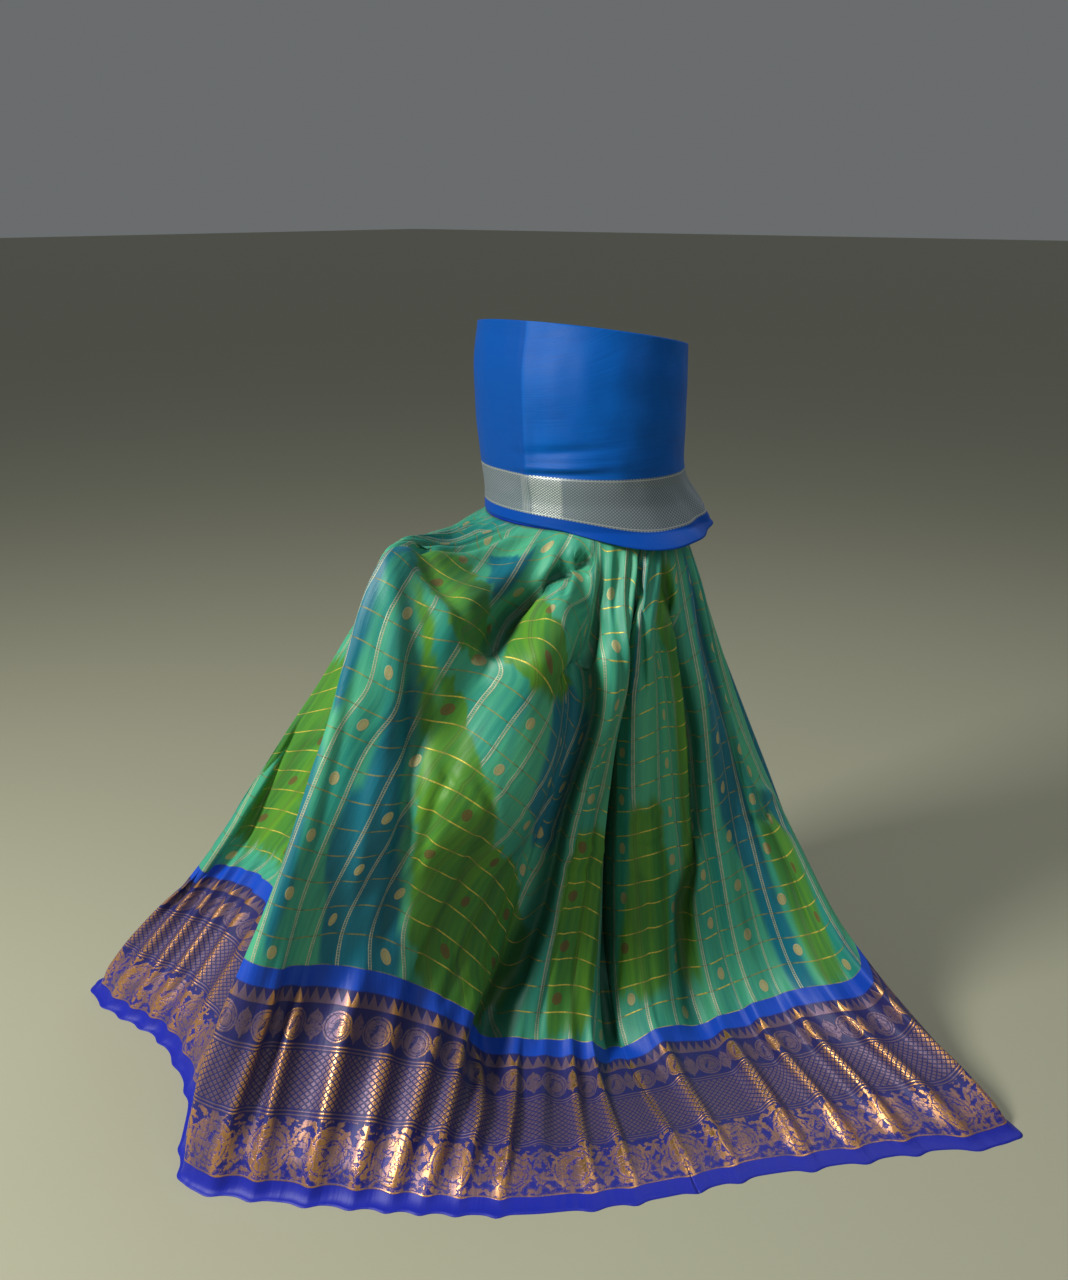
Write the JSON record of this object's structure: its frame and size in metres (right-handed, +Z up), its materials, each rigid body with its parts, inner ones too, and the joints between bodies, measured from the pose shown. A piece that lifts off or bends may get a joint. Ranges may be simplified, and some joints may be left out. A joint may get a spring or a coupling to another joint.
{
  "type": "lehenga with bodice cloth",
  "caption": "Floor-length gathered silk skirt with a deep woven border and a strapless bodice cloth, spread as worn on a seated figure.",
  "frame": {"origin": "centre of the waist, where the skirt's band holds on the wearer; the floor is 0.73 m below", "axes": "+Z up along the wearer's trunk, -Y to the wearer's front, +X to the wearer's left"},
  "size_m": [1.2291, 0.9503, 0.986],
  "materials": {
    "skirt_silk": "space-dyed blue, teal and green check silk with gold zari lines, small buttas and a deep copper-gold border",
    "band_silk": "plain royal blue silk",
    "bodice_silk": "bright blue silk with a silver zari band and a plain blue edge"
  },
  "bodies": {
    "root": {"skirt_front_right": "skirt_silk", "skirt_front_left": "skirt_silk", "skirt_back": "skirt_silk", "waistband": "band_silk", "bodice_cloth": "bodice_silk"}
  },
  "joints": []
}
